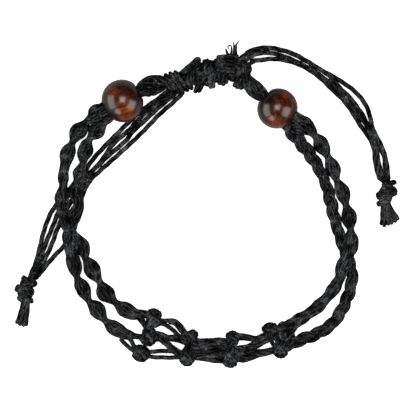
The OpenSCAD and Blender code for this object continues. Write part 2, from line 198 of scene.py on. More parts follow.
# Every cord is three plies twisted together, swept along its path (sizes in mm)
cordBuild = dict(
    ringSpacing=0.15, sides=12, plies=3, plyDepth=0.07, plyPitch=7.5,
    patternShift=37.1,  # how far the pattern moves on from one cord to the next
    endRings=(0.02, 0.2, 0.5, 1), tip=0.08)  # the rings of a rounded end, in half widths, and its last width


def makeCordTree():
    tree = bpy.data.node_groups.new("pliedCord", "GeometryNodeTree")
    tree.interface.new_socket("Geometry", in_out="OUTPUT", socket_type="NodeSocketGeometry")
    for name, kind in (("Geometry", "Geometry"), ("Ring Spacing", "Float"), ("Sides", "Int"),
                       ("Plies", "Int"), ("Ply Depth", "Float"), ("Ply Turn", "Float"),
                       ("Pattern Shift", "Float"), ("Material", "Material")):
        tree.interface.new_socket(name, in_out="INPUT", socket_type="NodeSocket" + kind)
    g = Graph(tree)
    source = tree.nodes.new("NodeGroupInput")

    def given(name):
        return Wire(tree, source.outputs[name])

    def stored(geometry, name, value, kind="FLOAT"):
        return g.node("GeometryNodeStoreNamedAttribute", dict(data_type=kind, domain="POINT"),
                      Geometry=geometry, Name=name, Value=value)

    rail = g.node("GeometryNodeResampleCurve", dict(mode="LENGTH"),
                  Curve=given("Geometry"), Length=given("Ring Spacing"))
    # every cord starts at another place of the pattern, so that neighbours never look alike
    cordNumber = g.node("GeometryNodeCurveOfPoint")
    length = g.node("GeometryNodeSplineParameter", output=1) + cordNumber * given("Pattern Shift")
    rail = g.node("GeometryNodeSetCurveTilt", Curve=rail, Tilt=length * given("Ply Turn"))
    rail = stored(rail, "along", length)
    ring = g.node("GeometryNodeCurvePrimitiveCircle", dict(mode="RADIUS"),
                  Resolution=given("Sides"), Radius=1.0)
    place = g.node("GeometryNodeInputPosition")
    x, y = [g.node("ShaderNodeSeparateXYZ", output=i, i0=place) for i in range(2)]
    lobe = (y.math("ARCTAN2", x) * given("Plies")).math("COSINE")
    ring = stored(ring, "side", place, "FLOAT_VECTOR")
    ring = stored(ring, "groove", 0.5 - lobe * 0.5)
    reach = 1.0 + (lobe - 1.0) * given("Ply Depth")
    grown = g.node("ShaderNodeVectorMath", dict(operation="SCALE"), i0=place, Scale=reach)
    ring = g.node("GeometryNodeSetPosition", Geometry=ring, Position=grown)
    radius = g.node("GeometryNodeInputRadius")
    tube = g.node("GeometryNodeCurveToMesh", Curve=rail, Profile_Curve=ring, Scale=radius, Fill_Caps=True)
    tube = g.node("GeometryNodeSetShadeSmooth", Geometry=tube)
    tube = g.node("GeometryNodeRealizeInstances", Geometry=tube)
    # how far the surface faces up, for the painted light on each cord's crest and the painted shade on its
    # flanks
    facing = g.node("GeometryNodeInputNormal")
    tube = stored(tube, "crown", g.node("ShaderNodeSeparateXYZ", output=2, i0=facing))
    tube = g.node("GeometryNodeSetMaterial", Geometry=tube, Material=given("Material"))
    g.node("NodeGroupOutput", Geometry=tube)
    return tree


cordTree = makeCordTree()


# A cord of one width gets rounded ends, so that none shows a flat cut
def roundEnds(points, width):
    run = lengthAlong(points)
    ends = width / 2 * np.array(cordBuild["endRings"])
    places = np.unique(np.concatenate([run, ends, run[-1] - ends]).clip(0, run[-1]))
    points = np.column_stack([np.interp(places, run, points[:, i]) for i in range(3)])
    left = np.minimum(np.minimum(places, run[-1] - places) / (width / 2), 1)
    return points, np.maximum(width * np.sqrt(1 - (1 - left) ** 2), cordBuild["tip"])


# paths is a list of (points in mm, cord diameter in mm or one for each point)
def cordMesh(name, paths):
    data = bpy.data.curves.new(name + "Path", "CURVE")
    data.dimensions = "3D"
    data.twist_mode = "MINIMUM"
    for points, width in paths:
        points = np.asarray(points, float)
        if np.ndim(width) == 0:
            points, width = roundEnds(points, width)
        widths = np.asarray(width, float)
        spline = data.splines.new("POLY")
        spline.points.add(len(points) - 1)
        spline.points.foreach_set("co", np.column_stack([points * mm, np.ones(len(points))]).ravel())
        spline.points.foreach_set("radius", widths * mm / 2)
    rail = addObject(name + "Path", data)
    modifier = rail.modifiers.new("pliedCord", "NODES")
    modifier.node_group = cordTree
    build = cordBuild
    values = {"Ring Spacing": build["ringSpacing"] * mm, "Sides": build["sides"], "Plies": build["plies"],
              "Ply Depth": build["plyDepth"], "Ply Turn": 2 * math.pi / (build["plyPitch"] * mm),
              "Pattern Shift": build["patternShift"] * mm, "Material": waxedCord}
    for item in cordTree.interface.items_tree:
        if item.name in values:
            modifier[item.identifier] = values[item.name]
    shown = rail.evaluated_get(bpy.context.evaluated_depsgraph_get())
    mesh = bpy.data.meshes.new_from_object(shown)
    mesh.name = name
    bpy.data.objects.remove(rail)
    bpy.data.curves.remove(data)
    return addObject(name, mesh)


def dress(piece, nodes):
    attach(piece, "root")
    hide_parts(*nodes)


def between(a, b, c, d, t):
    return (2 * b + (c - a) * t + (2 * a - 5 * b + 4 * c - d) * t * t
            + (3 * b - a - 3 * c + d) * t ** 3) / 2


# A smooth line through rows of numbers, of which the first three are a place
def smooth(rows, step=0.3):
    rows = np.asarray(rows, float)
    last = len(rows) - 1
    out = []
    for i in range(last):
        a, b, c, d = rows[max(i - 1, 0)], rows[i], rows[i + 1], rows[min(i + 2, last)]
        count = max(1, round(float(np.linalg.norm(c[:3] - b[:3])) / step))
        out += [between(a, b, c, d, j / count) for j in range(count)]
    return np.array(out + [rows[last]])


def lengthAlong(line):
    return np.concatenate([[0], np.cumsum(np.linalg.norm(np.diff(line[:, :3], axis=0), axis=1))])


def unit(v):
    return v / np.maximum(np.linalg.norm(v, axis=-1, keepdims=True), 1e-12)


# ahead, side and up of each point of a line; up is as near to +Z as it can be
def axesOf(line):
    ahead = unit(np.gradient(line[:, :3], axis=0))
    side = unit(np.cross([0, 0, 1], ahead))
    return ahead, side, np.cross(ahead, side)


# Rows without z lie on the floor, at the height low
def laid(route, low):
    return [row if len(row) > 2 else (*row, low) for row in route]


# The loose cords of the two tails; rows: x, y, z in mm
tails = dict(
    width=1.05, low=0.52,
    left=[
        [(-7, 23.6, 1.6), (-8.2, 22.7, 1), (-9.6, 21.6, 0.5), (-12.2, 19.8), (-13.7, 18.6), (-15.2, 17.2),
         (-16.8, 15.6), (-18.3, 14.1), (-19.8, 12.6), (-21.3, 11), (-22.7, 9.4), (-24, 7.5), (-25.5, 5.7),
         (-27, 3.9), (-28.6, 2.1), (-30.1, 0.2), (-31.3, -1.8), (-32.4, -4.8), (-33.2, -8), (-34, -11.1),
         (-35, -13.4, 0.7)],
        [(-6.5, 23.2, 2.2), (-7.6, 22.2, 1.8), (-9.1, 21.1, 1.2), (-10.9, 19.7, 1), (-12.2, 18.7, 0.85),
         (-13.4, 17.5, 0.75), (-14.3, 16.7, 0.65), (-15.1, 15.6, 0.6), (-16.4, 14.5, 0.6),
         (-17.8, 13.3, 0.65), (-18.8, 12.3, 0.8), (-19.5, 11.3, 1.1), (-20.2, 10.2, 1.4),
         (-20.9, 9.2, 1.45), (-21.6, 8.4, 1.3), (-22.9, 7.1, 0.9), (-24.7, 6.3, 0.5), (-26.3, 4.2),
         (-28.1, 1.5), (-29.5, -1), (-30.6, -3.8), (-31.6, -6.2), (-32.4, -8.4, 0.8), (-33.4, -11, 1.1),
         (-34.5, -13.4, 1.6)],
        [(-5.9, 22.8, 1.4), (-7.1, 21.8, 0.9), (-8.6, 20.6, 0.5), (-10.2, 19.2), (-12.2, 17.3),
         (-14.5, 15.2), (-16, 13.3), (-17.9, 11.6), (-19, 10.7), (-20.1, 9.7), (-21.1, 8.7), (-22.2, 7.7),
         (-23.2, 6.6), (-24.1, 5.6), (-25.5, 3.3), (-27.25, 0.6), (-28.6, -1.9), (-29.8, -4.6),
         (-30.6, -6.9), (-31.5, -9), (-32.6, -11.1), (-34.1, -13.6, 0.7)],
        [(-4.4, 23.2, 1.1), (-5.3, 22.1, 0.7), (-6.9, 20.6), (-9.3, 18.5), (-11.5, 16.2), (-13.9, 13.8),
         (-16.6, 11.3), (-19.3, 8.9), (-21.2, 7.2), (-23, 5.5), (-24.3, 3.3), (-25, 1.2), (-25.6, -1.2),
         (-26.1, -3.6), (-27, -5.9), (-28.4, -7.8), (-30.3, -9.8), (-32, -11.8, 0.7), (-33.7, -14, 1.3)]],
    right=[
        [(7.7, 30.3, 1.6), (9.2, 31.2, 1), (10.4, 31.6, 0.6), (12.6, 31.8), (15.2, 31.3), (17.6, 30.5),
         (20, 29.2), (22.4, 27.7), (24.8, 26.4), (27, 25.1), (29.4, 23.4), (31.2, 21.5), (32.3, 19.6),
         (32.9, 17.4, 0.95), (33.3, 15.6, 1.4), (34.2, 13.8, 1.5), (35.3, 11.5, 1.55), (36, 8.9, 1.5),
         (36.4, 6, 1.4)],
        [(7.8, 30.5, 2.5), (9.1, 31.2, 1.9), (10.3, 31.6, 1.5), (12.6, 31.8, 1.42), (15.2, 31.3, 1.42),
         (17.6, 30.5, 1.42), (20, 29.2, 1.42), (22.4, 27.7, 1.42), (24.5, 26.3, 1.42), (26.2, 24.4, 0.6),
         (27.6, 23), (28.85, 21.78), (30.11, 20.1), (31.38, 18.27), (32.36, 16.31), (33.9, 14),
         (35.05, 11.4), (35.7, 9.6), (35.86, 6, 0.55)],
        [(8.25, 29.79, 1.5), (9.45, 30.37, 0.9), (10.92, 30.75, 0.55), (12.99, 30.78, 0.5),
         (14.25, 30.47, 0.6), (15.31, 30.16, 0.9), (17.39, 29.32, 1.3), (19.6, 28.2, 1.42),
         (21.9, 26.9, 1.42), (23.6, 25.6, 1.42), (25.9, 24.1, 1.45), (27.55, 21.7, 1.3),
         (29.3, 19.9, 1.28), (30.6, 18.1, 1.28), (32, 16.4, 1.3), (33.05, 14.01, 1.32), (34.05, 11.8, 1.3),
         (34.25, 9.8, 1.3), (35.16, 6, 1.4)],
        [(8.78, 29.02, 1.4), (9.99, 29.25, 0.7), (11.39, 29.42), (13.4, 29.6), (15.4, 29.4), (17.4, 28.9),
         (19.4, 28.1), (21.4, 26.9), (23.3, 25.4), (25.2, 23.5), (27.24, 21.6), (28.74, 19.69),
         (29.95, 17.79), (31.12, 15.93), (32.52, 13.99), (33.55, 11.69), (33.84, 8.89),
         (34.54, 5.92, 0.55)]])


def makeTails():
    made = {}
    for hand in ("left", "right"):
        for number, route in enumerate(tails[hand], 1):
            line = smooth(laid(route, tails["low"]))
            name = f"{hand}_tail_cord_{number}"
            piece = cordMesh(name, [(line, tails["width"])])
            dress(piece, [f"{hand}_tail_{number}"])
            made[name] = (piece, line)
    return made


tailPieces = makeTails()
print("stage: the tail cords are laid")

# The four braided strands: three bands that turn over and over on their way, and a flat one
braids = dict(
    # a twisted strand is a band of cords that wind slowly round inside it; the flat one is a plait of
    # three pairs of cords
    twisted=dict(cord=0.8, count=9, pitch=26.0, thick=1.5, even=0.95),
    plait=dict(cord=0.84, apart=0.3, pitch=9, rise=0.26),
    plaited="right_inner_strand",
    # rows of a route: x, y, z, quarter turns of the band, and its width where it isn't the usual one
    width=3.2,
    routes=dict(
        left_outer_strand=[
            (-19.6, 19.9, 4.8, 0.3), (-20.9, 19.2, 4.9, 0.2, 3.2), (-22, 18.5, 4.1, 0, 3.7),
            (-23.7, 17.1, 2.7, 1), (-25.5, 15.1, 1.5, 2, 3.6), (-26.7, 12.8, 1.45, 3),
            (-27.6, 10.6, 1.45, 4, 3.3), (-28.1, 8.6, 1.45, 4.5, 3), (-28.4, 7, 1.55, 4.55, 2.9),
            (-28.5, 5.6, 1.7, 4.4, 2.8), (-28.45, 4.2, 1.9, 4.65, 2.7), (-28.7, 2.2, 2.3, 4.1, 3.1),
            (-28.51, -0.4, 2.9, 3.6, 3), (-27.86, -2.59, 3.5, 4, 3), (-27.25, -4.05, 3.8, 4.3, 3),
            (-26.18, -5.37, 4, 5, 2.8), (-25, -7.8, 3.3, 6, 3.8), (-24.1, -10.15, 1.9, 7),
            (-22.7, -12.5, 1.45, 8, 3.6), (-21.2, -15, 1.45, 9), (-20, -17.15, 1.45, 10, 3.8),
            (-18, -19.1, 1.45, 11), (-15.8, -20.7, 1.45, 12, 3.4), (-13.9, -21.4, 1.4, 12.3, 2.6),
            (-12.5, -21.4, 1.4, 12.2, 1.9), (-11, -21.6, 1.4, 12.2, 1.6)],
        left_inner_strand=[
            (-19.3, 18.7, 3.6, 0), (-19.8, 17.7, 2.9, 0.5, 3.2), (-20.3, 16.9, 2.5, 1, 3.2),
            (-21.1, 16.1, 2.1, 1.5, 3.3), (-21.9, 15.2, 1.6, 2, 3.6), (-23.2, 13.6, 1.45, 3, 3.2),
            (-24.1, 11.2, 1.8, 4, 3.4), (-24.5, 8.7, 2.4, 5), (-25.1, 6.7, 2.2, 6),
            (-25.59, 4.92, 2.1, 6.7, 3.1), (-25.9, 2.6, 2, 6, 3), (-25.35, 0.4, 1.9, 5.7, 2.5),
            (-26.26, -1.66, 2, 6, 3.1), (-26.98, -4.05, 2.2, 6.5, 3.1), (-27.37, -6.05, 2.3, 6.3, 3.1),
            (-27.15, -8, 2.3, 6.45, 3), (-26.7, -9.7, 1.9, 6.35, 3.1), (-26.3, -11.5, 1.45, 6),
            (-25.7, -14.1, 1.45, 7), (-24.6, -16.3, 1.45, 8), (-23.3, -18.8, 1.45, 9),
            (-21.6, -20.6, 1.45, 10, 3.5), (-20.1, -22.7, 1.45, 11), (-18, -24.3, 1.45, 12),
            (-16.7, -25.1, 1.45, 12.2, 2.8), (-15.4, -25.5, 1.4, 12.2, 2.2),
            (-14, -25.8, 1.4, 12.2, 1.3), (-12.4, -26, 1.4, 12.2, 1.2)],
        right_outer_strand=[
            (17, 18.1, 4.6, 0.3), (18, 17.2, 4.6, 0.3, 3.6), (19.7, 16.1, 3.2, 0, 3.7), (21.6, 14.3, 1.9, 1),
            (23, 12.5, 1.45, 2, 3.4), (24.3, 10.1, 1.45, 3), (25.3, 7.9, 1.45, 4), (26.1, 5.4, 1.45, 5),
            (27.2, 3, 1.45, 6), (27.9, 0.5, 1.45, 7), (28.6, -2.1, 1.45, 8, 3.4), (28.9, -4.5, 1.9, 9),
            (29, -7, 2.7, 10), (28.3, -9.4, 3.1, 9.6), (27.2, -11.9, 2.6, 10, 2.9),
            (26.6, -14.3, 1.5, 10.55, 2.8), (25.5, -16.3, 1.45, 10, 2.8), (24, -18.2, 1.45, 9.5, 2.8),
            (22.4, -19.8, 1.45, 10, 2.8), (20.5, -21.3, 1.3, 10.5, 2.8), (18.6, -22.5, 1.3, 10, 2.8),
            (16.6, -23.6, 1.2, 9.7, 2.6), (14.7, -24.4, 1.2, 9.6, 2.2), (13.4, -24.9, 1.2, 9.6, 1.8)],
        right_inner_strand=[
            (15.7, 17.2, 3.8, 0.2, 2), (16.1, 16.4, 3.2, 0.2, 3), (16.8, 15.3, 2.5, 0.2, 3.2),
            (18, 13.9, 1.6, 0, 3.1), (19.2, 12.5, 1, 0, 3.1), (20.7, 10.6, 0.85, 0, 3),
            (22, 8.6, 0.85, 0, 2.75), (23.2, 6.4, 0.85, 0, 2.6), (24.1, 4.1, 0.85, 0, 2.6),
            (24.8, 1.5, 0.85, 0, 2.85), (25.35, -0.9, 0.85, 0, 2.8), (26, -3.4, 0.85, 0, 2.6),
            (26.8, -6, 0.85, 0, 2.6), (27.7, -8.8, 0.85, 0, 2.6), (28.7, -11.2, 0.85, 0, 2.6),
            (29.2, -13.8, 0.85, 0, 2.7), (28.8, -16.4, 0.9, 0.2, 2.8), (28, -18.6, 0.95, 0.2, 2.8),
            (27.1, -20.6, 0.95, 0, 2.8), (26.1, -22.2, 0.95, -0.2, 2.8), (25, -23.5, 0.95, 0, 2.8),
            (23.3, -24.7, 0.95, 0, 2.8), (21.5, -25.6, 0.95, 0, 2.8), (19.3, -26.4, 1, 0, 2.8),
            (17, -27.3, 1.1, 0, 2.8), (15.8, -27.9, 1.2, 0, 2.8)]))


# The line of a flat band, its wide and thick directions, and the angle that has run by at each point
def bandOf(route):
    line = smooth([row if len(row) == 5 else (*row, braids["width"]) for row in route], 0.2)
    ahead, side, up = axesOf(line)
    roll = line[:, 3:4] * math.pi / 2
    wide = side * np.cos(roll) + up * np.sin(roll)
    thick = up * np.cos(roll) - side * np.sin(roll)
    return line, wide, thick, 2 * math.pi * lengthAlong(line)[:, None]


# A cord never goes below the floor
def onFloor(place, cord):
    place[:, 2] = np.maximum(place[:, 2], cord / 2)
    return place, cord


def plaitPaths(route, cord, apart, pitch, rise):
    line, wide, thick, turn = bandOf(route)
    swing = (line[:, 4:5] - cord) / 2 - apart
    phases = [turn / pitch + 2 * math.pi * k / 3 for k in range(3)]
    return [onFloor(line[:, :3] + wide * (swing * np.sin(p) + aside) + thick * rise * np.sin(2 * p), cord)
            for p in phases for aside in (-apart, apart)]


def twistedPaths(route, cord, count, pitch, thick, even):
    line, wide, over, turn = bandOf(route)
    swing, rise = (line[:, 4:5] - cord) / 2, (thick - cord) / 2
    phases = [turn / pitch + 2 * math.pi * k / count for k in range(count)]
    # the arcsine spreads the cords evenly over the band
    return [onFloor(line[:, :3] + wide * swing * np.arcsin(even * np.sin(p)) / math.asin(even)
                    + over * rise * np.cos(p), cord) for p in phases]


def makeStrands():
    for name, route in braids["routes"].items():
        if name == braids["plaited"]:
            paths = plaitPaths(route, **braids["plait"])
        else:
            paths = twistedPaths(route, **braids["twisted"])
        dress(cordMesh(name + "_braid", paths), [name])


makeStrands()
print("stage: the four strands are braided")

# Each bundle: the two braids of a side twisted together, from the sliding knot through the bead
bundles = dict(
    # lead: how far round the two braids stand at the knot, in turns
    cord=0.82, cordsInBunch=6, bunchShare=0.6, braidPitch=24.0, twist=16.0,
    lead=dict(left_bundle=-0.33, right_bundle=-0.2),
    # rows: x, y, z, diameter
    left_bundle=[
        (-6.2, 25, 2.6, 3.6), (-7.7, 24.8, 2.6, 3.9), (-9.4, 24.5, 2.8, 4.2), (-11, 24.1, 3.2, 4.3),
        (-12.1, 23.6, 3.7, 4.1), (-13, 23.1, 4.2, 3.3), (-14.5, 22.3, 4.3, 2.8),
        (-16.6, 21.1, 4.3, 2.8), (-18.7, 19.9, 4.3, 2.8), (-20.1, 19.1, 4.3, 2.7)],
    right_bundle=[
        (7.4, 25.6, 2.7, 3.4), (8.6, 24.6, 2.8, 3.5), (9.6, 23.6, 3.1, 3.6), (10.5, 22.8, 3.6, 3.5),
        (11.1, 22.5, 3.9, 3.3), (11.6, 22.1, 4.1, 2.9), (12.8, 21, 4.1, 2.8),
        (14.2, 19.6, 4.1, 2.8), (15.6, 18.2, 4.1, 2.8), (16.8, 17, 4.1, 2.7)])


def bundlePaths(name):
    route = bundles[name]
    line = smooth(route, 0.2)
    ahead, side, up = axesOf(line)
    cord, along = bundles["cord"], lengthAlong(line)[:, None]
    # each of the two braids is a round bunch of cords that winds round the other
    bunch = line[:, 3:4] * bundles["bunchShare"]
    paths = []
    for b in range(2):
        turn = 2 * math.pi * (along / bundles["twist"] + bundles["lead"][name]) + math.pi * b
        middle = line[:, :3] + (side * np.cos(turn) + up * np.sin(turn)) * (line[:, 3:4] - bunch) / 2
        for k in range(bundles["cordsInBunch"]):
            phase = 2 * math.pi * (along / bundles["braidPitch"] + k / bundles["cordsInBunch"])
            paths.append((middle + (side * np.cos(phase) + up * np.sin(phase)) * (bunch - cord) / 2, cord))
    return paths


def makeBundles():
    for name in ("left_bundle", "right_bundle"):
        dress(cordMesh(name + "_cords", bundlePaths(name)), [name])


makeBundles()
print("stage: the bundles are twisted")


def heading(degrees):
    return np.array([math.cos(math.radians(degrees)), math.sin(math.radians(degrees)), 0])


# A coil from middle a to middle b, with its wraps lying at an angle, seen from above, of half
# length reach and half height depth; bulge makes the middle wraps larger
def coil(a, b, angle, reach, depth, turns, bulge, cord, stepsInTurn=26):
    a, b = np.array(a, float), np.array(b, float)
    share = np.linspace(0, 1, int(turns * stepsInTurn) + 1)[:, None]
    phase = 2 * math.pi * (turns * share - 0.25)  # a coil starts at its lowest point
    size = 1 - bulge * (2 * share - 1) ** 2
    place = (a + (b - a) * share + heading(angle) * (reach - cord / 2) * size * np.cos(phase)
             + np.array([0, 0, 1]) * (depth - cord / 2) * size * np.sin(phase))
    return onFloor(place, cord)


# The turns inside a knot, as one closed egg: its place, length, width and angle
def core(middle, long, thick, angle, rings=25, tip=0.05):
    share = np.sin(np.linspace(-math.pi / 2, math.pi / 2, rings))[:, None]
    widths = np.maximum(thick * np.sqrt(1 - share[:, 0] ** 2), tip)
    return np.array(middle) + heading(angle) * share * long / 2, widths


# The nine overhand knots of the net
netKnots = dict(
    # bulge rounds the stack of wraps, reach makes its wraps a little longer than the knot, spacing and inset
    # are in cords, and no knot stands higher than highest
    cord=1.0, bulge=0.42, reach=1.04, spacing=0.5, highest=3.1, inset=0.4,
    # the cord aslant over the wraps, as shares of the stack's half width, half length and height
    aslant=[(-1.15, -0.35, 0.1), (-0.5, -0.1, 0.44), (0.4, 0.2, 0.46), (1.1, 0.4, 0.1)],
    # rows: x, y, length, diameter, angle of its length, and how far the wraps lean from that angle
    rows=[(-10.5, -22.2, 4.1, 3.6, 80, 10), (-11.4, -25.9, 4.3, 3.3, 20, 40), (-13, -29.2, 3.8, 3.5, 0, 70),
          (-2.7, -26, 3.3, 2.5, 80, 5), (-3.6, -29.8, 4.2, 3.4, 60, 10), (5.3, -26.2, 3.2, 3, 80, 10),
          (4.9, -29.9, 4.6, 3.6, 74, 10), (12.8, -24.6, 3.5, 3.2, 45, 60), (15, -28.4, 3.8, 3.4, 50, 20)])


def makeNetKnots():
    look, cord = netKnots, netKnots["cord"]
    for number, (x, y, long, thick, angle, lean) in enumerate(look["rows"], 1):
        # the stack of wraps fills the knot's extent along the wraps and across them
        off = math.radians(lean)
        reach = 0.5 * math.hypot(long * math.cos(off), thick * math.sin(off))
        across = 0.5 * math.hypot(long * math.sin(off), thick * math.cos(off)) - cord / 2
        step = heading(angle + lean + 90) * across
        high = min(thick, look["highest"])
        middle = np.array([x, y, high / 2])
        turns = max(2, round(2 * across / (cord * look["spacing"]))) + 0.5
        inset = cord * look["inset"]
        paths = [coil(middle - step, middle + step, angle + lean, reach * look["reach"], high / 2,
                      turns, look["bulge"], cord),
                 core(middle, long - inset, high - inset, angle)]
        # one cord lies aslant over the wraps, as in any overhand knot
        run = heading(angle + lean) * reach
        over = [middle + step * a + run * b + (0, 0, c * high) for a, b, c in look["aslant"]]
        paths.append((smooth(over, 0.15), cord))
        dress(cordMesh(f"net_knot_{number}_wraps", paths), [f"net_knot_{number}"])


makeNetKnots()

